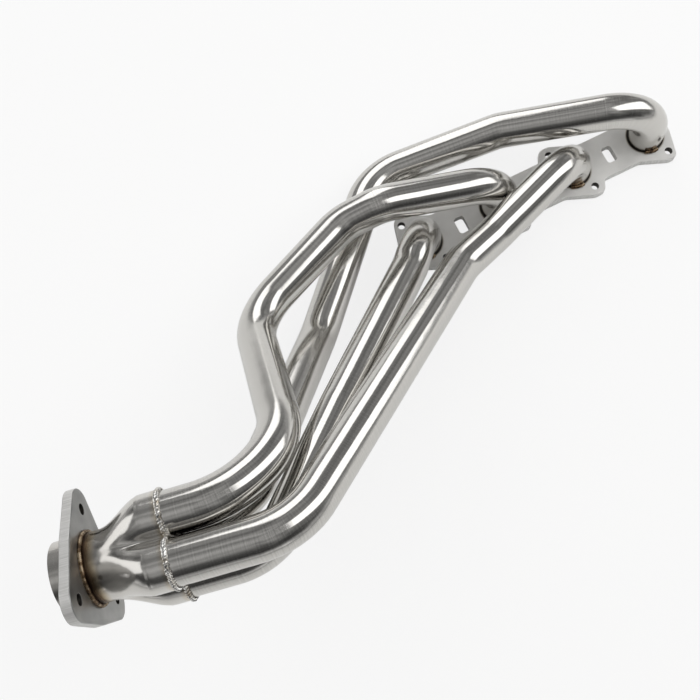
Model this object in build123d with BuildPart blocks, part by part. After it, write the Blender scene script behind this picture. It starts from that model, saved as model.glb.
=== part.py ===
from build123d import *
from math import cos, pi, radians, sin, sqrt
import os

os.makedirs("parts", exist_ok=True)

# Four-into-one tubular exhaust manifold for one bank of a V8, in millimetres.
# Origin: centre of the head flange's mating face, midway between the two middle ports.
# +X runs along the port row away from the outlet, +Y up the face, +Z out of the plate's tube side.

# head flange
port_pitch = 100.0  # distance between neighbouring ports
port_count = 4
head_plate = 10.0  # plate thickness
plate_half_height = 27.0  # port line to the long edges between bolt lobes
plate_end = 30.0  # last port's centre to the end of the plate
plate_end_low = -6.75  # the end edge runs from here, across the row,
plate_end_high = 23.75  # up to here
plate_end_crown = 6.0  # end lobe's crown past its bolt hole
head_bolt_x = 15.0  # bolt hole offset along the row, left above and right below each port
head_bolt_y = 30.2  # bolt hole offset across the row
head_bolt_hole = 9.0
bolt_lobe = 10.8  # plate edge to bolt hole centre
window_width = 12.5
window_height = 20.5
window_corner = 3.5
window_drop = 1.5  # windows sit this far below the port line
plate_edge_break = 0.6

# primary tubes
tube_od = 41.3
tube_wall = 1.6
tube_seat = 0.3  # radial clearance of a tube in its bore or cup
tube_recess = 3.0  # tube end behind the mating face
bend_radius = 61.0  # centre line radius of the mandrel bends

# collector and outlet
outlet_center = Vector(-588.0, -222.0, 253.5)  # on the outlet axis, at the flange's inner face
outlet_yaw = -10.4  # degrees, of the outlet axis from the port row
outlet_rise = 2.4  # degrees, of the outlet axis off the mating face
outlet_od = 63.5
outlet_stub = 18.0  # pipe end past the outlet flange
collector_wall = 1.6
neck_length = 12.0  # straight neck between the outlet flange and the flare
inlet_plane = 75.5  # outlet flange's inner face to the cup mouths
inlet_gap = 2.7  # between neighbouring tubes at the cups
inlet_spacing = tube_od + inlet_gap
inlet_turn = 33.3  # degrees, of the second tube's cup from the collector's own X
cup_depth = 14.0
tube_insertion = 11.0  # how far a tube stands in its cup
plug_thickness = 3.0
plug_inset = 2.0  # plug behind the cup mouths
plug_reach = 0.32 * inlet_spacing  # collector's axis to the plug's tips

# outlet flange
outlet_plate = 10.0
outlet_bolt_circle = 107.0
outlet_bolt_count = 3
outlet_bolt_hole = 10.5
outlet_lobe = 19.5  # plate edge to bolt hole centre
outlet_side = 49.5  # outlet axis to the middle of each bowed side
outlet_bore_gap = 0.25
outlet_edge_break = 0.8

# weld beads
weld_leg = 3.0
tack_leg = 4.5
tack_span = 42.0  # degrees of the tack's arc
tack_crown = 0.62  # share of the leg, swell of the tack's face
port_weld_low = 0.1  # port weld's face behind the mating face
tack_angle = -58.0  # degrees, middle of the tack round its port, from +X
weld_gap = 0.1  # between neighbouring beads
weld_slope = 0.6  # share of a cup bead's width that slopes
flange_weld_leg = 4.0
flange_weld_slope = 0.7  # share of the flange bead's leg that slopes

tube_r = tube_od / 2
tube_bore_r = tube_r - tube_wall
seat_r = tube_r + tube_seat
cup_r = seat_r + collector_wall
outlet_r = outlet_od / 2
port_x = [port_pitch * (i - (port_count - 1) / 2) for i in range(port_count)]

yaw = radians(outlet_yaw)
rise = radians(outlet_rise)
outlet_axis = Vector(cos(yaw) * cos(rise), sin(yaw) * cos(rise), sin(rise))
outlet_across = Vector(-sin(yaw), cos(yaw), 0)
# collector frame: +Z runs from the outlet flange towards the tubes, +X lies level, up the face
collector = Plane(origin=outlet_center, x_dir=outlet_across, z_dir=outlet_axis)

# each tube's cup, as quarter turns round the collector
cup_turn = [2, 0, 1, 3]
inlet_radius = inlet_spacing / sqrt(2)


def cup_angle(tube):
    return inlet_turn + 90.0 * cup_turn[tube]


def cup_center(tube, height):
    turn = radians(cup_angle(tube))
    return collector.from_local_coords((inlet_radius * cos(turn), inlet_radius * sin(turn), height))


# Tube routes. first_leg: corner of the bend out of the port, straight out from it.
# from_port: further corners, measured from the port's centre on the mating face.
# last_leg: corner of the bend into the collector, out from the cup mouth along its axis.
routes = [
    {
        "first_leg": 69.0,
        "from_port": [(-39.0, -43.0, 81.5), (-180.0, -172.0, 180.0)],
        "last_leg": 78.0,
        "radii": [bend_radius, bend_radius, bend_radius, bend_radius],
    },
    {
        "first_leg": 83.0,
        "from_port": [(-142.5, 25.0, 117.5), (-190.0, 26.5, 109.0), (-324.0, -31.5, 113.5)],
        "last_leg": 119.0,
        "radii": [bend_radius, bend_radius, bend_radius, 65.0, 84.0],
    },
    {
        "first_leg": 70.0,
        "from_port": [(-140.5, -54.0, 86.5), (-192.0, -74.0, 105.0)],
        "last_leg": 110.0,
        "radii": [bend_radius, bend_radius, bend_radius, 68.0],
    },
    {
        "first_leg": 91.0,
        "from_port": [(-169.0, 67.5, 59.0), (-323.5, 93.0, 31.0), (-465.0, -67.0, 72.0)],
        "last_leg": 60.0,
        "radii": [53.0, bend_radius, bend_radius, bend_radius, bend_radius],
    },
]


def route_points(tube):
    route = routes[tube]
    port = Vector(port_x[tube], 0, 0)
    points = [port + Vector(0, 0, tube_recess), port + Vector(0, 0, route["first_leg"])]
    points += [port + Vector(*step) for step in route["from_port"]]
    points.append(cup_center(tube, inlet_plane + route["last_leg"]))
    points.append(cup_center(tube, inlet_plane - tube_insertion))
    return points


def save(part, name):
    part.label = name
    export_step(part, f"parts/{name}.step")


# head flange: one lobe below right and one above left of every port
slope_start = 37.5  # hole centre back to where the lobe's long flank leaves the plate edge
slope_end = 15.0  # hole centre on to where its short flank meets the plate edge
crown_back = 4.0  # hole centre back to the start of the lobe's crown
crown_front = 8.5  # and on to its end


def long_edge(x_positions, side):
    points = []
    for x in x_positions:
        hole = x + side * head_bolt_x
        edge = -side * plate_half_height
        crown = -side * (head_bolt_y + bolt_lobe)
        points += [
            (hole - side * slope_start, edge),
            (hole - side * crown_back, crown),
            (hole + side * crown_front, crown),
            (hole + side * slope_end, edge),
        ]
    return points


# the plate's two ends are half turns of each other
right_end = [
    (port_x[-1] + head_bolt_x + plate_end_crown, -(head_bolt_y + bolt_lobe)),
    (port_x[-1] + plate_end, plate_end_low),
    (port_x[-1] + plate_end, plate_end_high),
]
left_end = [(-x, -y) for x, y in right_end]
lower = long_edge(port_x, 1)[1:-2]
upper = long_edge(list(reversed(port_x)), -1)[1:-2]
lobe_radii = [14.0, 12.0, 8.0, 6.0]
end_radii = [8.0, 20.0, 16.0]
edge_radii = (lobe_radii * port_count)[1:-2] + end_radii

with BuildPart() as head_flange:
    with BuildSketch():
        with BuildLine():
            FilletPolyline(lower + right_end + upper + left_end, radius=edge_radii * 2, close=True)
        make_face()
    extrude(amount=head_plate)
    chamfer(head_flange.faces().sort_by(Axis.Z)[-1].outer_wire().edges(), length=plate_edge_break)
    with BuildSketch():
        with Locations(*[(x, 0) for x in port_x]):
            Circle(seat_r)
        with Locations(*[(x + head_bolt_x, -head_bolt_y) for x in port_x]):
            Circle(head_bolt_hole / 2)
        with Locations(*[(x - head_bolt_x, head_bolt_y) for x in port_x]):
            Circle(head_bolt_hole / 2)
        with Locations(*[(x + port_pitch / 2, -window_drop) for x in port_x[:-1]]):
            RectangleRounded(window_width, window_height, window_corner)
    extrude(amount=head_plate, mode=Mode.SUBTRACT)
    # countersinks on the mating face take the port welds
    for x in port_x:
        with BuildSketch(Plane.XZ):
            with BuildLine():
                Polyline(
                    (x, 0), (x + seat_r + weld_leg, 0), (x + seat_r, weld_leg), (x, weld_leg), close=True
                )
            make_face()
        revolve(axis=Axis((x, 0, 0), (0, 0, 1)), mode=Mode.SUBTRACT)
save(head_flange.part, "head_flange")

# primary tubes, their welds inside the ports and the short tacks on the outside
first_tack_edge = radians(tack_angle - tack_span / 2)
tack_start = Vector(cos(first_tack_edge), sin(first_tack_edge), 0)
tack_side = tack_start.cross(Vector(0, 0, 1))
for tube in range(port_count):
    with BuildPart() as primary_tube:
        with BuildLine() as path:
            FilletPolyline(route_points(tube), radius=routes[tube]["radii"])
        with BuildSketch(Plane(origin=path.line @ 0, z_dir=path.line % 0)):
            Circle(tube_r)
            Circle(tube_bore_r, mode=Mode.SUBTRACT)
        sweep(path=path.line)
    save(primary_tube.part, f"primary_tube_{tube + 1}")

    x = port_x[tube]
    with BuildPart() as port_weld:
        with BuildSketch(Plane.XZ):
            with BuildLine():
                Polyline(
                    (x + tube_bore_r, tube_recess),
                    (x + seat_r, tube_recess),
                    (x + seat_r + weld_leg - port_weld_low, port_weld_low),
                    (x + seat_r, port_weld_low),
                    close=True,
                )
            make_face()
        revolve(axis=Axis((x, 0, 0), (0, 0, 1)))
    save(port_weld.part, f"port_weld_{tube + 1}")

    with BuildPart() as tack_weld:
        with BuildSketch(Plane(origin=(x, 0, 0), x_dir=tack_start, z_dir=tack_side)):
            with BuildLine():
                Line((tube_r, head_plate), (tube_r + tack_leg, head_plate))
                ThreePointArc(
                    (tube_r + tack_leg, head_plate),
                    (tube_r + tack_crown * tack_leg, head_plate + tack_crown * tack_leg),
                    (tube_r, head_plate + tack_leg),
                )
                Line((tube_r, head_plate + tack_leg), (tube_r, head_plate))
            make_face()
        revolve(axis=Axis((x, 0, 0), (0, 0, 1)), revolution_arc=tack_span)
    save(tack_weld.part, f"tack_weld_{tube + 1}")

# formed collector: a neck that flares into four cups
neck_end = -outlet_plate - outlet_stub
cup_overlap = 3.0  # the cups start this far before the flare's end wall
cup_step = 0.6  # the cups stand this far outside the flare
cup_lead = 2.1  # the cup bores start this far before the flare's end
flare_end = inlet_plane - cup_depth
flare_steps = 4
outline_points = 24


def blend(share):
    return share * share * (3 - 2 * share)


def flare_reach(angle, swing, radius):
    # outer edge of four overlapping circles, seen from the collector's axis
    off = radians((angle - inlet_turn + 45) % 90 - 45)
    return swing * cos(off) + sqrt(radius**2 - (swing * sin(off)) ** 2)


def flare_section(share, inset, height):
    swing = inlet_radius * blend(share)
    radius = outlet_r + (cup_r - outlet_r) * blend(share)
    points = []
    for i in range(outline_points):
        angle = inlet_turn + i * 360 / outline_points
        reach = flare_reach(angle, swing, radius) - cup_step * share - inset
        points.append((reach * cos(radians(angle)), reach * sin(radians(angle))))
    with BuildSketch(collector.offset(height)) as section:
        if share == 0:
            Circle(outlet_r - inset)
        else:
            with BuildLine():
                Spline(points, periodic=True)
            make_face()
    return section.sketch.face()


def flare(inset, end):
    # solid from the neck's mouth to the flare's end, inset from its outer surface
    sections = []
    for step in range(flare_steps + 1):
        share = step / flare_steps
        sections.append(flare_section(share, inset, neck_length + (end - neck_length) * share))
    return sections


with BuildPart() as collector_body:
    loft(flare(0, flare_end))
    with BuildSketch(collector.offset(neck_end)):
        Circle(outlet_r)
    extrude(amount=neck_length - neck_end)
    with BuildSketch(collector.offset(flare_end - cup_overlap)):
        with PolarLocations(inlet_radius, port_count, start_angle=inlet_turn):
            Circle(cup_r)
    extrude(amount=cup_depth + cup_overlap)
    loft(flare(collector_wall, flare_end - collector_wall), mode=Mode.SUBTRACT)
    with BuildSketch(collector.offset(neck_end)):
        Circle(outlet_r - collector_wall)
    extrude(amount=neck_length - neck_end, mode=Mode.SUBTRACT)
    with BuildSketch(collector.offset(flare_end - cup_lead)):
        with PolarLocations(inlet_radius, port_count, start_angle=inlet_turn):
            Circle(seat_r)
    extrude(amount=cup_depth + cup_lead, mode=Mode.SUBTRACT)
save(collector_body.part, "collector_body")

# plate that closes the gap between the four cups
with BuildPart() as center_plug:
    with BuildSketch(collector.offset(inlet_plane - plug_inset - plug_thickness)):
        Circle(plug_reach)
        with PolarLocations(inlet_radius, port_count, start_angle=inlet_turn):
            Circle(cup_r, mode=Mode.SUBTRACT)
    extrude(amount=plug_thickness)
save(center_plug.part, "center_plug")

# beads round the tubes on the cup mouths, each kept to its own quarter
for tube in range(port_count):
    mouth = Plane(origin=cup_center(tube, inlet_plane), x_dir=outlet_across, z_dir=outlet_axis)
    quarter = Plane(
        origin=collector.from_local_coords((0, 0, inlet_plane)),
        x_dir=outlet_across.rotate(Axis((0, 0, 0), outlet_axis), cup_angle(tube) - 45),
        z_dir=outlet_axis,
    )
    with BuildPart() as inlet_weld:
        with BuildSketch(mouth):
            Circle(cup_r)
            Circle(tube_r, mode=Mode.SUBTRACT)
        extrude(amount=weld_leg)
        chamfer(
            inlet_weld.faces().sort_by(Axis(mouth.origin, outlet_axis))[-1].outer_wire().edges(),
            length=weld_slope * (cup_r - tube_r),
        )
        with BuildSketch(quarter):
            with Locations((weld_gap / 2, weld_gap / 2)):
                Rectangle(2 * inlet_spacing, 2 * inlet_spacing, align=(Align.MIN, Align.MIN))
        extrude(amount=weld_leg, mode=Mode.INTERSECT)
    save(inlet_weld.part, f"inlet_weld_{tube + 1}")

# outlet flange and its bead
bolt_circle_r = outlet_bolt_circle / 2
with BuildPart() as outlet_flange:
    with BuildSketch(collector.offset(-outlet_plate)) as flange_outline:
        Circle(outlet_side)
        with PolarLocations(bolt_circle_r, outlet_bolt_count, start_angle=0):
            Circle(outlet_lobe)
        make_hull()
    extrude(amount=outlet_plate)
    rims = outlet_flange.faces().filter_by(collector).sort_by(Axis(outlet_center, outlet_axis))
    for rim in (rims[0], rims[-1]):
        chamfer(rim.outer_wire().edges(), length=outlet_edge_break)
    with BuildSketch(collector.offset(-outlet_plate)):
        Circle(outlet_r + outlet_bore_gap)
        with PolarLocations(bolt_circle_r, outlet_bolt_count, start_angle=0):
            Circle(outlet_bolt_hole / 2)
    extrude(amount=outlet_plate, mode=Mode.SUBTRACT)
save(outlet_flange.part, "outlet_flange")

with BuildPart() as flange_weld:
    with BuildSketch(collector):
        Circle(outlet_r + flange_weld_leg)
        Circle(outlet_r, mode=Mode.SUBTRACT)
    extrude(amount=flange_weld_leg)
    chamfer(
        flange_weld.faces().sort_by(Axis(outlet_center, outlet_axis))[-1].outer_wire().edges(),
        length=flange_weld_slope * flange_weld_leg,
    )
save(flange_weld.part, "flange_weld")
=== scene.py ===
from math import atan2, cos, floor, pi, radians, sin, sqrt, tan

import bpy
from mathutils import Matrix, Vector, noise


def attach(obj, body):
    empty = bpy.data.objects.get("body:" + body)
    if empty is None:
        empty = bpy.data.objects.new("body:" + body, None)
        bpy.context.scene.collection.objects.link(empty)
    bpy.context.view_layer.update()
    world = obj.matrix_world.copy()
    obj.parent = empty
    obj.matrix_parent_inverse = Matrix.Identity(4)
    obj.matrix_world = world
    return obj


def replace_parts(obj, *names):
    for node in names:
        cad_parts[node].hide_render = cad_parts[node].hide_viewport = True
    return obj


# Polished stainless four-into-one manifold. Sizes are in millimetres and the pieces are built in metres
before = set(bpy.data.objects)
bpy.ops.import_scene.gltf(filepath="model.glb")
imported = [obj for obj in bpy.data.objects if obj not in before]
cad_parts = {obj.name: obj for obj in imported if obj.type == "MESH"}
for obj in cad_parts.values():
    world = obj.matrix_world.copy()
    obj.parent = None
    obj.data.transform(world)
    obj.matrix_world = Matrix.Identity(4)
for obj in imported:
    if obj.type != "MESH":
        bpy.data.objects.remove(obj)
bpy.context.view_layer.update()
mm = 0.001
mergeReach = 0.00001  # points closer than this are one point
print("frame loaded:", len(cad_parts), "nodes")


def hexColour(text):
    channels = [int(text[i:i + 2], 16) / 255 for i in (1, 3, 5)]
    return tuple(c / 12.92 if c <= 0.04045 else ((c + 0.055) / 1.055) ** 2.4 for c in channels) + (1.0,)


def addNode(tree, kind, settings=None, links=None):
    node = tree.nodes.new(kind)
    for key, value in (settings or {}).items():
        if key == "stops":  # colour ramp stops, as (place, colour)
            while len(node.color_ramp.elements) < len(value):
                node.color_ramp.elements.new(1.0)
            for element, (where, colour) in zip(node.color_ramp.elements, value):
                element.position = where
                element.color = colour
        elif isinstance(key, str) and hasattr(node, key):
            setattr(node, key, value)
        else:
            node.inputs[key].default_value = value
    for key, source in (links or {}).items():
        tree.links.new(source, node.inputs[key])
    return node


def newFinish(name, shaderSettings):
    finish = bpy.data.materials.new(name)
    finish.use_nodes = True
    tree = finish.node_tree
    tree.nodes.clear()
    shader = addNode(tree, "ShaderNodeBsdfPrincipled", shaderSettings)
    addNode(tree, "ShaderNodeOutputMaterial", None, {"Surface": shader.outputs["BSDF"]})
    where = addNode(tree, "ShaderNodeTexCoord").outputs["Object"]
    return finish, tree, shader, where


def deselectAll():
    if bpy.context.mode != "OBJECT":
        bpy.ops.object.mode_set(mode="OBJECT")
    bpy.ops.object.select_all(action="DESELECT")


def startRing(name, sides, radius, location=(0, 0, 0)):
    deselectAll()
    bpy.ops.mesh.primitive_circle_add(vertices=sides, radius=radius, location=location)
    piece = bpy.context.object
    piece.name = piece.data.name = name
    bpy.ops.object.transform_apply(location=True, rotation=True, scale=True)
    bpy.ops.object.mode_set(mode="EDIT")
    bpy.ops.mesh.select_all(action="SELECT")
    return piece


def applyModifier(piece, kind, **settings):
    modifier = piece.modifiers.new(kind.title(), kind)
    for key, value in settings.items():
        setattr(modifier, key, value)
    bpy.context.view_layer.objects.active = piece
    bpy.ops.object.modifier_apply(modifier=modifier.name)


def closeShell(piece):
    # seams merged and faces turned outwards
    bpy.context.view_layer.objects.active = piece
    piece.select_set(True)
    bpy.ops.object.mode_set(mode="EDIT")
    bpy.ops.mesh.select_all(action="SELECT")
    bpy.ops.mesh.remove_doubles(threshold=mergeReach)
    bpy.ops.mesh.normals_make_consistent(inside=False)
    bpy.ops.object.mode_set(mode="OBJECT")


def smoothBy(piece, degreesLimit):
    deselectAll()
    piece.select_set(True)
    bpy.context.view_layer.objects.active = piece
    bpy.ops.object.shade_smooth_by_angle(angle=radians(degreesLimit))


# collector frame: Z runs from the outlet flange towards the tubes, X lies level across the outlet
outlet = {
    "centre": (-588.0, -222.0, 253.5),
    "yaw": -10.4,
    "rise": 2.4,
    "pipeRadius": 31.75,
    "plate": 10.0,
    "stub": 18.0,
    "neck": 12.0,
    "cupStart": 61.5,
    "cupMouth": 75.5,
    "cupCircle": 44.0 / sqrt(2),
    "cupRadius": 22.55,
    "cupTurn": 33.3,
    "wall": 1.6,
}
yaw, rise = radians(outlet["yaw"]), radians(outlet["rise"])
outletAxis = Vector((cos(yaw) * cos(rise), sin(yaw) * cos(rise), sin(rise)))
outletAcross = Vector((-sin(yaw), cos(yaw), 0))
outletCentre = Vector(outlet["centre"])
outletPlace = Matrix((outletAcross, outletAxis.cross(outletAcross), outletAxis)).transposed().to_4x4()
outletPlace.translation = outletCentre * mm


def cupCentre(quarter, height):
    turn = radians(outlet["cupTurn"] + 90 * quarter)
    flat = Vector((cos(turn), sin(turn), 0)) * outlet["cupCircle"]
    return outletCentre + outletPlace.to_3x3() @ (flat + Vector((0, 0, height)))


# 304 stainless tube, buffed on a belt: the marks circle the tube, so reflections are drawn out along it
polishedTube, tree, shader, where = newFinish("belt_polished_stainless_tube", {
    "Metallic": 1.0, "Anisotropic": 0.8,
})
waves = addNode(tree, "ShaderNodeTexNoise", {"Scale": 1 / (24 * mm), "Detail": 1.0}, {"Vector": where})
smudge = addNode(tree, "ShaderNodeTexNoise", {"Scale": 1 / (9 * mm), "Detail": 3.0}, {"Vector": where})
travel = addNode(tree, "ShaderNodeAttribute", {"attribute_name": "travel"})
beltRings = addNode(tree, "ShaderNodeTexNoise", {
    "noise_dimensions": "1D", "Scale": 1 / (1.3 * mm), "Detail": 3.0,
}, {"W": travel.outputs["Fac"]})
tone = addNode(tree, "ShaderNodeValToRGB", {"stops": [
    (0.3, hexColour("#c4c2be")), (0.7, hexColour("#d2d0cc")),
]}, {"Fac": beltRings.outputs["Fac"]})
dulling = addNode(tree, "ShaderNodeMath", {"operation": "MULTIPLY_ADD", 1: 0.5, 2: 0.0}, {
    0: smudge.outputs["Fac"],
})
marks = addNode(tree, "ShaderNodeMath", {"operation": "MULTIPLY_ADD", 1: 0.5}, {
    0: beltRings.outputs["Fac"], 2: dulling.outputs["Value"],
})
haze = addNode(tree, "ShaderNodeMapRange", {
    "From Min": 0.3, "From Max": 0.7, "To Min": 0.09, "To Max": 0.17,
}, {"Value": marks.outputs["Value"]})
waveBump = addNode(tree, "ShaderNodeBump", {"Strength": 0.3, "Distance": 0.6 * mm}, {
    "Height": waves.outputs["Fac"],
})
lengthwise = addNode(tree, "ShaderNodeAttribute", {"attribute_name": "lengthwise"})
# painted shade: the tubes' inner sides are darkened to brown in the crotch where the four tubes meet,
# just above the cups
offset = addNode(tree, "ShaderNodeVectorMath", {"operation": "SUBTRACT", 1: outletCentre * mm}, {
    0: where,
})
along = addNode(tree, "ShaderNodeVectorMath", {"operation": "DOT_PRODUCT", 1: outletAxis}, {
    0: offset.outputs["Vector"],
})
swept = addNode(tree, "ShaderNodeVectorMath", {"operation": "CROSS_PRODUCT", 1: outletAxis}, {
    0: offset.outputs["Vector"],
})
aside = addNode(tree, "ShaderNodeVectorMath", {"operation": "LENGTH"}, {0: swept.outputs["Vector"]})
deep = addNode(tree, "ShaderNodeMapRange", {
    "From Min": 16 * mm, "From Max": 27 * mm, "To Min": 1.0, "To Max": 0.0,
}, {"Value": aside.outputs["Value"]})
near = addNode(tree, "ShaderNodeMapRange", {
    "From Min": 82 * mm, "From Max": 125 * mm, "To Min": 1.0, "To Max": 0.0,
}, {"Value": along.outputs["Value"]})
# painted shade mask: close to the outlet axis and near the cups, between the tubes
crotchShade = addNode(tree, "ShaderNodeMath", {"operation": "MULTIPLY"}, {
    0: deep.outputs["Result"], 1: near.outputs["Result"],
})
crotchShadedTone = addNode(tree, "ShaderNodeMix", {"data_type": "RGBA", 7: hexColour("#3b2c20")}, {
    0: crotchShade.outputs["Value"], 6: tone.outputs["Color"],
})
tree.links.new(crotchShadedTone.outputs[2], shader.inputs["Base Color"])
tree.links.new(haze.outputs["Result"], shader.inputs["Roughness"])
tree.links.new(waveBump.outputs["Normal"], shader.inputs["Normal"])
tree.links.new(lengthwise.outputs["Vector"], shader.inputs["Tangent"])

# the same steel formed over a die: the weld at the flange leaves brown and straw bands on the neck
formedCollector, tree, shader, where = newFinish("polished_stainless_collector", {"Metallic": 1.0})
offset = addNode(tree, "ShaderNodeVectorMath", {"operation": "SUBTRACT", 1: outletCentre * mm}, {
    0: where,
})
along = addNode(tree, "ShaderNodeVectorMath", {"operation": "DOT_PRODUCT", 1: outletAxis}, {
    0: offset.outputs["Vector"],
})
waves = addNode(tree, "ShaderNodeTexNoise", {"Scale": 1 / (18 * mm), "Detail": 2.0}, {"Vector": where})
wander = addNode(tree, "ShaderNodeMath", {"operation": "MULTIPLY_ADD", 1: 5 * mm, 2: -2.5 * mm}, {
    0: waves.outputs["Fac"],
})
spread = addNode(tree, "ShaderNodeMath", {"operation": "ABSOLUTE"}, {0: along.outputs["Value"]})
heat = addNode(tree, "ShaderNodeMath", {"operation": "ADD"}, {
    0: spread.outputs["Value"], 1: wander.outputs["Value"],
})
heatPlace = addNode(tree, "ShaderNodeMapRange", {"From Min": 0.0, "From Max": 80 * mm}, {
    "Value": heat.outputs["Value"],
})
heatTint = addNode(tree, "ShaderNodeValToRGB", {"stops": [
    (0.0, hexColour("#2b2019")),
    (0.05, hexColour("#43342a")),
    (0.09, hexColour("#85715a")),
    (0.13, hexColour("#b5a892")),
    (0.19, hexColour("#cbc8c3")),
    (0.87, hexColour("#d3d1cd")),
    (0.95, hexColour("#c3b9a8")),
    (1.0, hexColour("#a3968a")),
]}, {"Fac": heatPlace.outputs["Result"]})
haze = addNode(tree, "ShaderNodeMapRange", {
    "From Min": 0.0, "From Max": 14 * mm, "To Min": 0.35, "To Max": 0.17,
}, {"Value": heat.outputs["Value"]})
waveBump = addNode(tree, "ShaderNodeBump", {"Strength": 0.4, "Distance": 0.8 * mm}, {
    "Height": waves.outputs["Fac"],
})
tree.links.new(heatTint.outputs["Color"], shader.inputs["Base Color"])
tree.links.new(haze.outputs["Result"], shader.inputs["Roughness"])
tree.links.new(waveBump.outputs["Normal"], shader.inputs["Normal"])

# hot-rolled stainless plate, blasted: an even grey bloom; round each port a narrow ring is painted near
# black as the shadow in the gap round the tube, with brown heat tint just outside it
satinPlate, tree, shader, where = newFinish("blasted_stainless_plate", {"Metallic": 0.45})
grain = addNode(tree, "ShaderNodeTexNoise", {"Scale": 1 / (0.9 * mm), "Detail": 4.0}, {"Vector": where})
cloud = addNode(tree, "ShaderNodeTexNoise", {"Scale": 1 / (30 * mm), "Detail": 2.0}, {"Vector": where})
tone = addNode(tree, "ShaderNodeValToRGB", {"stops": [
    (0.3, hexColour("#cbcac7")), (0.7, hexColour("#dddcd9")),
]}, {"Fac": cloud.outputs["Fac"]})
haze = addNode(tree, "ShaderNodeMapRange", {"To Min": 0.42, "To Max": 0.56}, {
    "Value": cloud.outputs["Fac"],
})
grainBump = addNode(tree, "ShaderNodeBump", {"Strength": 0.15, "Distance": 0.1 * mm}, {
    "Height": grain.outputs["Fac"],
})
axes = addNode(tree, "ShaderNodeSeparateXYZ", None, {"Vector": where})
fromPort = addNode(tree, "ShaderNodeMath", {"operation": "WRAP", 1: 0.0, 2: 100 * mm}, {
    0: axes.outputs["X"],
})
across = addNode(tree, "ShaderNodeMath", {"operation": "SUBTRACT", 1: 50 * mm}, {
    0: fromPort.outputs["Value"],
})
flat = addNode(tree, "ShaderNodeCombineXYZ", None, {
    "X": across.outputs["Value"], "Y": axes.outputs["Y"],
})
portDistance = addNode(tree, "ShaderNodeVectorMath", {"operation": "LENGTH"}, {
    0: flat.outputs["Vector"],
})
portPlace = addNode(tree, "ShaderNodeMapRange", {"From Min": 20 * mm, "From Max": 26 * mm}, {
    "Value": portDistance.outputs["Value"],
})
# painted shadow of the gap round each tube: near black at the bore's edge, then brown heat tint fading to
# the plate's grey
gapShadowAndScorch = addNode(tree, "ShaderNodeValToRGB", {"stops": [
    (0.22, hexColour("#0e0c0a")), (0.34, hexColour("#4d443b")),
    (0.5, hexColour("#c8c3ba")), (0.7, hexColour("#ffffff")),
]}, {"Fac": portPlace.outputs["Result"]})
shadedAndStained = addNode(tree, "ShaderNodeMix", {"data_type": "RGBA", "blend_type": "MULTIPLY", 0: 1.0}, {
    6: tone.outputs["Color"], 7: gapShadowAndScorch.outputs["Color"],
})
tree.links.new(shadedAndStained.outputs[2], shader.inputs["Base Color"])
tree.links.new(haze.outputs["Result"], shader.inputs["Roughness"])
tree.links.new(grainBump.outputs["Normal"], shader.inputs["Normal"])


def cutEdge(name, turned):
    # a plate's laser-cut edge: bright metal with fine lines straight through the thickness
    finish, tree, shader, where = newFinish(name, {"Metallic": 0.5})
    stretch = addNode(tree, "ShaderNodeMapping", {
        "vector_type": "TEXTURE", "Rotation": turned, "Scale": (1, 1, 30),
    }, {"Vector": where})
    lines = addNode(tree, "ShaderNodeTexNoise", {"Scale": 1 / (1.1 * mm), "Detail": 3.0}, {
        "Vector": stretch.outputs["Vector"],
    })
    tone = addNode(tree, "ShaderNodeValToRGB", {"stops": [
        (0.3, hexColour("#c2c1be")), (0.7, hexColour("#dedddb")),
    ]}, {"Fac": lines.outputs["Fac"]})
    bump = addNode(tree, "ShaderNodeBump", {"Strength": 0.12, "Distance": 0.1 * mm}, {
        "Height": lines.outputs["Fac"],
    })
    tree.links.new(tone.outputs["Color"], shader.inputs["Base Color"])
    tree.links.new(bump.outputs["Normal"], shader.inputs["Normal"])
    shader.inputs["Roughness"].default_value = 0.42
    return finish


# drilled walls of the bores and bolt holes: dull, and painted dark as the shade inside the holes
holeWallShade, tree, shader, where = newFinish("hole_wall_painted_shade", {
    "Metallic": 1.0, "Roughness": 0.38, "Base Color": hexColour("#5d5a56"),
})
headEdge = cutEdge("laser_cut_head_flange_edge", (0, 0, 0))
outletEdge = cutEdge("laser_cut_outlet_flange_edge", outletPlace.to_euler())

# the outlet flange's plate is the same stock, brushed, its colour painted a little darker as shade on its
# face
outletShadedPlate, tree, shader, where = newFinish("brushed_stainless_plate_painted_shade", {"Metallic": 0.85})
grain = addNode(tree, "ShaderNodeTexNoise", {"Scale": 1 / (0.8 * mm), "Detail": 4.0}, {"Vector": where})
cloud = addNode(tree, "ShaderNodeTexNoise", {"Scale": 1 / (25 * mm), "Detail": 2.0}, {"Vector": where})
tone = addNode(tree, "ShaderNodeValToRGB", {"stops": [
    (0.3, hexColour("#8b8b89")), (0.7, hexColour("#a9a8a6")),
]}, {"Fac": cloud.outputs["Fac"]})
haze = addNode(tree, "ShaderNodeMapRange", {"To Min": 0.26, "To Max": 0.4}, {
    "Value": cloud.outputs["Fac"],
})
grainBump = addNode(tree, "ShaderNodeBump", {"Strength": 0.12, "Distance": 0.1 * mm}, {
    "Height": grain.outputs["Fac"],
})
tree.links.new(tone.outputs["Color"], shader.inputs["Base Color"])
tree.links.new(haze.outputs["Result"], shader.inputs["Roughness"])
tree.links.new(grainBump.outputs["Normal"], shader.inputs["Normal"])

# TIG filler left as welded: bright silver crests, straw to brown where the heat stayed
tigBead, tree, shader, where = newFinish("tig_weld_bead", {"Metallic": 1.0, "Roughness": 0.2})
patches = addNode(tree, "ShaderNodeTexNoise", {"Scale": 1 / (9 * mm), "Detail": 2.0}, {"Vector": where})
tone = addNode(tree, "ShaderNodeValToRGB", {"stops": [
    (0.3, hexColour("#a89e90")), (0.4, hexColour("#cdcac4")), (0.55, hexColour("#e4e3e0")),
]}, {"Fac": patches.outputs["Fac"]})
tree.links.new(tone.outputs["Color"], shader.inputs["Base Color"])

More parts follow.
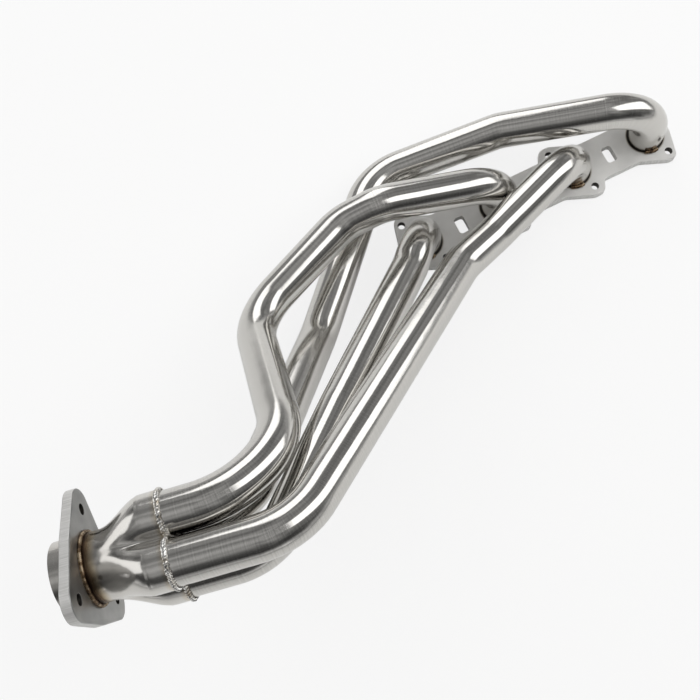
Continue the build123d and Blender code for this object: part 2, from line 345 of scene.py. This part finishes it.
# the same filler overheated: burnt brown with gold crests
burntBead, tree, shader, where = newFinish("burnt_weld_bead", {"Metallic": 1.0, "Roughness": 0.36})
patches = addNode(tree, "ShaderNodeTexNoise", {"Scale": 1 / (5 * mm), "Detail": 3.0}, {"Vector": where})
tone = addNode(tree, "ShaderNodeValToRGB", {"stops": [
    (0.35, hexColour("#3a2e25")), (0.5, hexColour("#75614b")), (0.65, hexColour("#b5a48b")),
]}, {"Fac": patches.outputs["Fac"]})
tree.links.new(tone.outputs["Color"], shader.inputs["Base Color"])
print("finishes made")

# primary tubes: one ring run out of each port, drawn straight and spun through every bend
tubes = {
    "radius": 20.65,
    "wall": 1.6,
    "sides": 64,
    "stepDegrees": 2.5,
    "settle": 2.0,  # length of the short ring beside each bend, which keeps the reflections even
    "recess": 3.0,
    "insertion": 11.0,
    "ports": [-150.0, -50.0, 50.0, 150.0],
    "quarters": [2, 0, 1, 3],
    "firstLegs": [69.0, 83.0, 70.0, 91.0],
    "lastLegs": [78.0, 119.0, 110.0, 60.0],
    "corners": [
        [(-39.0, -43.0, 81.5), (-180.0, -172.0, 180.0)],
        [(-142.5, 25.0, 117.5), (-190.0, 26.5, 109.0), (-324.0, -31.5, 113.5)],
        [(-140.5, -54.0, 86.5), (-192.0, -74.0, 105.0)],
        [(-169.0, 67.5, 59.0), (-323.5, 93.0, 31.0), (-465.0, -67.0, 72.0)],
    ],
    "bends": [
        [61.0, 61.0, 61.0, 61.0],
        [61.0, 61.0, 61.0, 65.0, 84.0],
        [61.0, 61.0, 61.0, 68.0],
        [53.0, 61.0, 61.0, 61.0, 61.0],
    ],
}


def routeOf(i):
    port = Vector((tubes["ports"][i], 0, 0))
    mouth = outlet["cupMouth"]
    points = [port + Vector((0, 0, tubes["recess"])), port + Vector((0, 0, tubes["firstLegs"][i]))]
    points += [port + Vector(corner) for corner in tubes["corners"][i]]
    points.append(cupCentre(tubes["quarters"][i], mouth + tubes["lastLegs"][i]))
    points.append(cupCentre(tubes["quarters"][i], mouth - tubes["insertion"]))
    return points


def drawStraight(run):
    # two short end lengths and the long one between them
    settle = tubes["settle"] / run.length
    for share in (settle, 1 - 2 * settle, settle) if settle < 0.25 else (1.0,):
        bpy.ops.mesh.extrude_edges_move(TRANSFORM_OT_translate={"value": run * share * mm})


def markGrain(tube):
    # each ring keeps the way the tube runs there and how far along it lies
    sides = tubes["sides"]
    points = [vertex.co for vertex in tube.data.vertices]
    middles = [sum(points[k:k + sides], Vector()) / sides for k in range(0, len(points), sides)]
    tube.data.attributes.new("lengthwise", "FLOAT_VECTOR", "POINT")
    tube.data.attributes.new("travel", "FLOAT", "POINT")
    lengthwise, travel = tube.data.attributes["lengthwise"], tube.data.attributes["travel"]
    gone = 0.0
    for k, middle in enumerate(middles):
        before, after = middles[max(k - 1, 0)], middles[min(k + 1, len(middles) - 1)]
        gone += (middle - before).length
        for j in range(k * sides, (k + 1) * sides):
            lengthwise.data[j].vector = (after - before).normalized()
            travel.data[j].value = gone


for i in range(4):
    route = routeOf(i)
    name = f"primary_tube_{i + 1}_polished"
    tube = startRing(name, tubes["sides"], tubes["radius"] * mm, route[0] * mm)
    start = route[0]
    for corner, after, radius in zip(route[1:-1], route[2:], tubes["bends"][i]):
        ahead = (corner - start).normalized()
        onward = (after - corner).normalized()
        turn = ahead.angle(onward)
        bendStart = corner - ahead * radius * tan(turn / 2)
        drawStraight(bendStart - start)
        spinAxis = ahead.cross(onward).normalized()
        bpy.ops.mesh.spin(
            steps=max(3, round(turn / radians(tubes["stepDegrees"]))), angle=-turn,
            center=(bendStart + spinAxis.cross(ahead) * radius) * mm, axis=spinAxis,
            dupli=False, use_auto_merge=False,
        )
        start = corner + onward * radius * tan(turn / 2)
    drawStraight(route[-1] - start)
    closeShell(tube)
    markGrain(tube)
    applyModifier(tube, "SOLIDIFY", thickness=tubes["wall"] * mm, offset=-1)
    smoothBy(tube, 40)
    tube.data.materials.append(polishedTube)
    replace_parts(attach(tube, "root"), f"primary_tube_{i + 1}")
    print("tube", i + 1, "drawn,", len(tube.data.polygons), "faces")

# formed collector: the outlet pipe swells into four lobes, one round each tube
skin = {
    "perLobe": 40,  # points round each lobe
    "flareRings": 30,
    "settle": 2.0,  # short rings at both ends of the cups
    "creaseSpread": 3,  # points on either side of a crease that are eased
    "creasePasses": 6,
    "creaseLead": 1.5,  # how much sooner the lobes narrow than they move apart
}


def lobedOutline(share):
    # outer edge of four circles that start as the pipe's own circle, then move apart and shrink
    ease = share * share * (3 - 2 * share)
    ahead = min(1.0, share * skin["creaseLead"])
    tighten = ahead * ahead * (3 - 2 * ahead)
    widest = outlet["cupCircle"] + outlet["cupRadius"]
    lobeReach = outlet["pipeRadius"] + (widest - outlet["pipeRadius"]) * ease
    radius = outlet["pipeRadius"] + (outlet["cupRadius"] - outlet["pipeRadius"]) * tighten
    swing = lobeReach - radius
    reach = swing * cos(pi / 4) + sqrt(radius ** 2 - (swing * sin(pi / 4)) ** 2)
    limit = atan2(reach * sin(pi / 4), reach * cos(pi / 4) - swing)
    outline = []
    for quarter in range(4):
        turn = radians(outlet["cupTurn"] + 90 * quarter)
        for j in range(skin["perLobe"]):
            bend = -limit + 2 * limit * j / skin["perLobe"]
            flat = Vector((swing + radius * cos(bend), radius * sin(bend), 0))
            outline.append(Matrix.Rotation(turn, 3, "Z") @ flat)
    count = len(outline)
    for i in range(skin["creasePasses"]):  # rounds the creases between the lobes
        eased = list(outline)
        for k in range(0, count, skin["perLobe"]):
            for j in range(k - skin["creaseSpread"], k + skin["creaseSpread"] + 1):
                beside = outline[(j - 1) % count] + outline[(j + 1) % count]
                eased[j % count] = (outline[j % count] * 2 + beside) / 4
        outline = eased
    return outline


flareLength = outlet["cupStart"] - outlet["neck"]
rings = [(-outlet["plate"] - outlet["stub"], 0), (0, 0), (outlet["neck"] / 2, 0), (outlet["neck"], 0)]
for i in range(1, skin["flareRings"] + 1):
    rings.append((outlet["neck"] + flareLength * i / skin["flareRings"], i / skin["flareRings"]))
rings.append((outlet["cupStart"] + skin["settle"], 1))
rings += [(outlet["cupMouth"] - skin["settle"], 1), (outlet["cupMouth"], 1)]
sides = 4 * skin["perLobe"]
collectorSkin = startRing("collector_formed_body", sides, outlet["pipeRadius"] * mm)
for _ in rings[1:]:
    bpy.ops.mesh.extrude_edges_move(TRANSFORM_OT_translate={"value": (0, 0, 0)})
bpy.ops.object.mode_set(mode="OBJECT")
for i, (height, share) in enumerate(rings):
    for j, flat in enumerate(lobedOutline(share)):
        collectorSkin.data.vertices[i * sides + j].co = (flat + Vector((0, 0, height))) * mm
closeShell(collectorSkin)
applyModifier(collectorSkin, "SOLIDIFY", thickness=outlet["wall"] * mm, offset=-1)

# four cup sleeves stand inside the lobes and show only between the tubes
sleeves = {"radius": 22.4, "wall": 1.4, "from": 57.0, "to": 75.3, "sides": 64}
for quarter in range(4):
    turn = radians(outlet["cupTurn"] + 90 * quarter)
    centre = Vector((cos(turn) * outlet["cupCircle"], sin(turn) * outlet["cupCircle"], sleeves["from"]))
    sleeve = startRing(f"cup_sleeve_{quarter}", sleeves["sides"], sleeves["radius"] * mm, centre * mm)
    depth = (sleeves["to"] - sleeves["from"]) * mm
    bpy.ops.mesh.extrude_edges_move(TRANSFORM_OT_translate={"value": (0, 0, depth)})
    closeShell(sleeve)
    applyModifier(sleeve, "SOLIDIFY", thickness=sleeves["wall"] * mm, offset=-1)
    deselectAll()
    sleeve.select_set(True)
    collectorSkin.select_set(True)
    bpy.context.view_layer.objects.active = collectorSkin
    bpy.ops.object.join()
collectorSkin.data.transform(outletPlace)
smoothBy(collectorSkin, 40)
collectorSkin.data.materials.clear()
collectorSkin.data.materials.append(formedCollector)
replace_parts(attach(collectorSkin, "root"), "collector_body")
print("collector formed,", len(collectorSkin.data.polygons), "faces")


# how every weld's ripples lie
ripple = {
    "curl": 0.35,  # share of a dime that its crest bows forward
    "fall": 1.6,  # how suddenly a dime drops to the next
    "lumpSize": 4.0,
    "endShare": 0.45,  # size of an open bead's ends
}


def makeBead(name, bead, placement):
    # a round rod spun about the joint, then pinched into overlapping dimes
    piece = startRing(name, bead["around"], 1.0)
    circle = 2 * pi * bead["radius"]
    dimes = max(3, round(circle * bead["sweep"] / 360 / bead["pitch"]))
    steps = dimes * bead["perDime"]
    closed = bead["sweep"] == 360
    bpy.ops.transform.rotate(value=pi / 2, orient_axis="X", center_override=(0, 0, 0))
    bpy.ops.transform.translate(value=(bead["radius"], 0, 0))
    bpy.ops.mesh.spin(
        steps=steps, angle=radians(bead["sweep"]), center=(0, 0, 0), axis=(0, 0, 1),
        dupli=False, use_auto_merge=False,
    )
    bpy.ops.object.mode_set(mode="OBJECT")
    for vertex in piece.data.vertices:
        turn = atan2(vertex.co.y, vertex.co.x)
        out = Vector((vertex.co.x, vertex.co.y)).length - bead["radius"]
        lift = vertex.co.z
        spot = atan2(lift, out)
        progress = (turn % (2 * pi)) / radians(bead["sweep"]) * dimes
        crescent = progress + ripple["curl"] * cos(spot - bead["face"])
        lump = noise.noise(vertex.co / ripple["lumpSize"] + Vector((bead["level"], 0, 0))) * bead["lumps"]
        pinch = 1 + lump - bead["pinch"] * (crescent - floor(crescent)) ** ripple["fall"]
        fromEnd = min(progress, abs(dimes - progress))
        taper = 1.0 if closed else min(1.0, ripple["endShare"] + fromEnd)
        out, lift = out * bead["width"] * pinch * taper, lift * bead["height"] * pinch * taper
        reach = bead["radius"] + out
        vertex.co = Vector((reach * cos(turn), reach * sin(turn), bead["level"] + lift)) * mm
    piece.data.transform(placement)
    closeShell(piece)
    if not closed:  # the open ends are capped
        bpy.ops.object.mode_set(mode="EDIT")
        bpy.ops.mesh.select_all(action="DESELECT")
        bpy.ops.mesh.select_mode(type="EDGE")
        bpy.ops.mesh.select_non_manifold()
        bpy.ops.mesh.fill_holes(sides=0)
        bpy.ops.mesh.select_all(action="SELECT")
        bpy.ops.mesh.normals_make_consistent(inside=False)
        bpy.ops.object.mode_set(mode="OBJECT")
    smoothBy(piece, 60)
    return piece


cupBead = {
    "radius": 21.5, "level": 76.6, "width": 2.7, "height": 2.7, "face": radians(45), "sweep": 360,
    "pitch": 2.8, "pinch": 0.34, "perDime": 8, "around": 14, "lumps": 0.28,
}
for i in range(4):
    turn = radians(outlet["cupTurn"] + 90 * tubes["quarters"][i])
    flat = Vector((cos(turn), sin(turn), 0)) * outlet["cupCircle"] * mm
    bead = makeBead(f"cup_weld_bead_{i + 1}", cupBead, outletPlace @ Matrix.Translation(flat))
    bead.data.materials.append(tigBead)
    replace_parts(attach(bead, "root"), f"inlet_weld_{i + 1}")

flangeBead = {
    "radius": 32.7, "level": 1.2, "width": 2.2, "height": 2.2, "face": radians(45), "sweep": 360,
    "pitch": 1.8, "pinch": 0.13, "perDime": 6, "around": 12, "lumps": 0.06,
}
bead = makeBead("flange_weld_bead", flangeBead, outletPlace)
bead.data.materials.append(burntBead)
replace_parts(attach(bead, "root"), "flange_weld")

portBead = {
    "radius": 22.0, "level": 1.9, "width": 1.7, "height": 1.5, "face": radians(-90), "sweep": 360,
    "pitch": 2.6, "pinch": 0.25, "perDime": 6, "around": 10, "lumps": 0.1,
}
tackBead = {
    "radius": 22.3, "level": 11.6, "width": 2.6, "height": 2.3, "face": radians(45), "sweep": 42,
    "pitch": 2.6, "pinch": 0.3, "perDime": 8, "around": 12, "lumps": 0.3, "start": -79.0,
}
for i, x in enumerate(tubes["ports"]):
    portPlace = Matrix.Translation((x * mm, 0, 0))
    bead = makeBead(f"port_weld_bead_{i + 1}", portBead, portPlace)
    bead.data.materials.append(tigBead)
    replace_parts(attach(bead, "root"), f"port_weld_{i + 1}")
    tackTurn = Matrix.Rotation(radians(tackBead["start"]), 4, "Z")
    tack = makeBead(f"tack_weld_bead_{i + 1}", tackBead, portPlace @ tackTurn)
    tack.data.materials.append(burntBead)
    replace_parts(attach(tack, "root"), f"tack_weld_{i + 1}")
print("beads laid")


def breakEdges(node, name, width, through, finishes, holes):
    # a clean copy of a cut blank with its edges broken: flat faces, cut edges and holes each get a finish
    deselectAll()
    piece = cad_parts[node].copy()
    piece.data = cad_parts[node].data.copy()
    for key in list(piece.keys()):
        del piece[key]
    piece.parent = None
    piece.name = piece.data.name = name
    bpy.context.scene.collection.objects.link(piece)
    piece.select_set(True)
    bpy.context.view_layer.objects.active = piece
    bpy.ops.object.mode_set(mode="EDIT")
    bpy.ops.mesh.select_all(action="SELECT")
    bpy.ops.mesh.remove_doubles(threshold=mergeReach)
    bpy.ops.mesh.dissolve_limited(angle_limit=radians(1))
    bpy.ops.object.mode_set(mode="OBJECT")
    smoothBy(piece, 30)
    applyModifier(
        piece, "BEVEL", width=width * mm, segments=2, limit_method="ANGLE", angle_limit=radians(32),
        harden_normals=True,
    )
    piece.data.materials.clear()
    for finish in finishes:
        piece.data.materials.append(finish)
    for face in piece.data.polygons:
        if abs(face.normal.dot(through)) < 0.5:
            inHole = any((face.center - centre).cross(through).length < reach for centre, reach in holes)
            face.material_index = 2 if inHole else 1
    return piece


headHoles = {"boltAcross": 15.0, "boltUp": 30.2, "boltReach": 5.5, "portReach": 21.5, "edgeBreak": 0.35}
places = []
for x in tubes["ports"]:
    places.append((Vector((x, 0, 0)) * mm, headHoles["portReach"] * mm))
    for hand in (-1, 1):
        bolt = Vector((x + hand * headHoles["boltAcross"], -hand * headHoles["boltUp"], 0))
        places.append((bolt * mm, headHoles["boltReach"] * mm))
headFinishes = (satinPlate, headEdge, holeWallShade)
headPlate = breakEdges(
    "head_flange", "head_flange_blank", headHoles["edgeBreak"], Vector((0, 0, 1)), headFinishes, places,
)
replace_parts(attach(headPlate, "root"), "head_flange")
outletHoles = {"innerReach": 40.0, "boltCircle": 53.5, "boltReach": 6.5, "edgeBreak": 0.5}
places = [(outletCentre * mm, outletHoles["innerReach"] * mm)]
for third in range(3):
    turn = radians(120 * third)
    bolt = outletPlace @ (Vector((cos(turn), sin(turn), 0)) * outletHoles["boltCircle"] * mm)
    places.append((bolt, outletHoles["boltReach"] * mm))
outletFinishes = (outletShadedPlate, outletEdge, holeWallShade)
outletPlate = breakEdges(
    "outlet_flange", "outlet_flange_blank", outletHoles["edgeBreak"], outletAxis, outletFinishes, places,
)
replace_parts(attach(outletPlate, "root"), "outlet_flange")
plugBreak = 0.4
plug = breakEdges("center_plug", "crotch_plug", plugBreak, outletAxis, (tigBead, tigBead), [])
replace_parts(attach(plug, "root"), "center_plug")
print("plates finished")

# studio: pale floor, three soft boxes that streak the steel, and a wide fill over the floor
studio = {
    "floorSize": 14.0,
    "floorDrop": 0.001,
    "floorColour": "#f4f4f3",
    "floorLift": 0.82,  # share of the paper that the lens sees as white
    "paperWhite": 0.97,
    "backdrop": 0.96,
    "target": (-0.25, -0.06, 0.12),
    "distance": 1.8,
    "boxes": [  # lower and upper end of each box seen from the manifold, in degrees round and up
        {"name": "key_softbox", "low": (2.0, 9.0), "high": (-42.0, 68.0), "width": 0.92, "glow": 1.75},
        {"name": "back_softbox", "low": (66.0, 6.0), "high": (96.0, 42.0), "width": 0.95, "glow": 1.6},
        {"name": "end_softbox", "low": (166.0, 7.0), "high": (164.0, 44.0), "width": 1.2, "glow": 1.15},
    ],
    "fillPower": 72.0,
    "fillSize": 5.0,
    "fillHeight": 3.2,
}
deselectAll()
bpy.ops.mesh.primitive_plane_add(size=studio["floorSize"], location=(0, 0, -studio["floorDrop"]))
floorSheet = bpy.context.object
floorSheet.name = "studio_floor"
bpy.ops.object.transform_apply(location=True, rotation=True, scale=True)
paperFloor, tree, shader, where = newFinish("matte_paper_floor", {
    "Base Color": hexColour(studio["floorColour"]), "Roughness": 0.9,
})
# what the lens sees of the paper is lifted towards white, what the steel reflects of it isn't
seen = addNode(tree, "ShaderNodeLightPath")
lift = addNode(tree, "ShaderNodeMath", {"operation": "MULTIPLY", 1: studio["floorLift"]}, {
    0: seen.outputs["Is Camera Ray"],
})
glow = addNode(tree, "ShaderNodeEmission", {"Color": (1, 1, 1, 1), "Strength": studio["paperWhite"]})
blended = addNode(tree, "ShaderNodeMixShader", None, {
    "Fac": lift.outputs["Value"], 1: shader.outputs["BSDF"], 2: glow.outputs["Emission"],
})
addNode(tree, "ShaderNodeOutputMaterial", {"is_active_output": True}, {
    "Surface": blended.outputs["Shader"],
})
floorSheet.data.materials.append(paperFloor)

target = Vector(studio["target"])
for box in studio["boxes"]:
    ends = []
    for azimuth, height in (box["low"], box["high"]):
        azimuth, height = radians(azimuth), radians(height)
        ends.append(Vector((cos(azimuth) * cos(height), sin(azimuth) * cos(height), sin(height))))
    towards = (ends[0] + ends[1]).normalized()
    length = 2 * studio["distance"] * tan(ends[0].angle(ends[1]) / 2)
    upward = (ends[1] - ends[0]).normalized()
    lamp = bpy.data.lights.new(box["name"], "AREA")
    lamp.shape = "RECTANGLE"
    lamp.size, lamp.size_y = box["width"], length
    lamp.energy = box["glow"] * pi * box["width"] * length
    holder = bpy.data.objects.new(box["name"], lamp)
    facing = Matrix((upward.cross(towards), upward, towards)).transposed().to_4x4()
    holder.matrix_world = Matrix.Translation(target + towards * studio["distance"]) @ facing
    bpy.context.scene.collection.objects.link(holder)
    holder.visible_camera = False
fill = bpy.data.lights.new("overhead_fill", "AREA")
fill.size = studio["fillSize"]
fill.energy = studio["fillPower"]
fillHolder = bpy.data.objects.new("overhead_fill", fill)
fillHolder.location = (target.x, target.y, studio["fillHeight"])
bpy.context.scene.collection.objects.link(fillHolder)
fillHolder.visible_camera = False
fillHolder.visible_glossy = False

room = bpy.data.worlds.new("studio_room")
room.use_nodes = True
tree = room.node_tree
tree.nodes.clear()
way = addNode(tree, "ShaderNodeTexCoord")
split = addNode(tree, "ShaderNodeSeparateXYZ", None, {"Vector": way.outputs["Generated"]})
# brightness by height: the wall on one side is dark above its pale foot, the other one stays grey
nearStops = [
    (0.0, 0.62), (0.1, 0.45), (0.2, 0.18), (0.3, 0.07),
    (0.5, 0.07), (0.66, 0.14), (0.8, 0.3), (0.95, 0.4),
]
farStops = [(0.0, 0.42), (0.1, 0.3), (0.2, 0.25), (0.5, 0.24), (0.86, 0.27), (0.96, 0.36)]
wallRamps = []
for stops in (nearStops, farStops):
    greys = [(height, (value, value, value, 1)) for height, value in stops]
    wallRamps.append(addNode(tree, "ShaderNodeValToRGB", {"stops": greys}, {"Fac": split.outputs["Z"]}))
nearWall, farWall = wallRamps
side = addNode(tree, "ShaderNodeVectorMath", {"operation": "DOT_PRODUCT", 1: (0.7, 0.7, 0.0)}, {
    0: way.outputs["Generated"],
})
turned = addNode(tree, "ShaderNodeMapRange", {"From Min": -0.4, "From Max": 0.5}, {
    "Value": side.outputs["Value"],
})
walls = addNode(tree, "ShaderNodeMix", {"data_type": "RGBA"}, {
    0: turned.outputs["Result"], 6: nearWall.outputs["Color"], 7: farWall.outputs["Color"],
})
# what stands about the room shows in the steel as soft lighter and darker patches
clutter = addNode(tree, "ShaderNodeTexNoise", {"Scale": 4.0, "Detail": 2.0}, {
    "Vector": way.outputs["Generated"],
})
patchy = addNode(tree, "ShaderNodeMapRange", {
    "From Min": 0.35, "From Max": 0.65, "To Min": 0.6, "To Max": 1.4,
}, {"Value": clutter.outputs["Fac"]})
dark = addNode(tree, "ShaderNodeBackground", None, {
    "Color": walls.outputs[2], "Strength": patchy.outputs["Result"],
})
pale = addNode(tree, "ShaderNodeBackground", {"Color": (1, 1, 1, 1), "Strength": studio["backdrop"]})
rays = addNode(tree, "ShaderNodeLightPath")
mixed = addNode(tree, "ShaderNodeMixShader", None, {
    "Fac": rays.outputs["Is Camera Ray"], 1: dark.outputs["Background"], 2: pale.outputs["Background"],
})
addNode(tree, "ShaderNodeOutputWorld", None, {"Surface": mixed.outputs["Shader"]})
bpy.context.scene.world = room
print("studio lit")

# camera: looks down on the plate from the tube side, turned so that the tubes run to the lower left
view = {
    "from": (-0.34721, -0.36756, 1.11158),
    "right": (0.89946, -0.43234, -0.06359),
    "up": (0.43385, 0.86605, 0.24847),
    "lens": 50.06,
}
lens = bpy.data.cameras.new("bench_camera")
lens.lens = view["lens"]
lens.sensor_width = 36.0
camera = bpy.data.objects.new("bench_camera", lens)
right = Vector(view["right"]).normalized()
back = right.cross(Vector(view["up"])).normalized()
turned = Matrix((right, back.cross(right), back)).transposed().to_4x4()
camera.matrix_world = Matrix.Translation(view["from"]) @ turned
bpy.context.scene.collection.objects.link(camera)
bpy.context.scene.camera = camera
bpy.context.scene.view_settings.view_transform = "Standard"
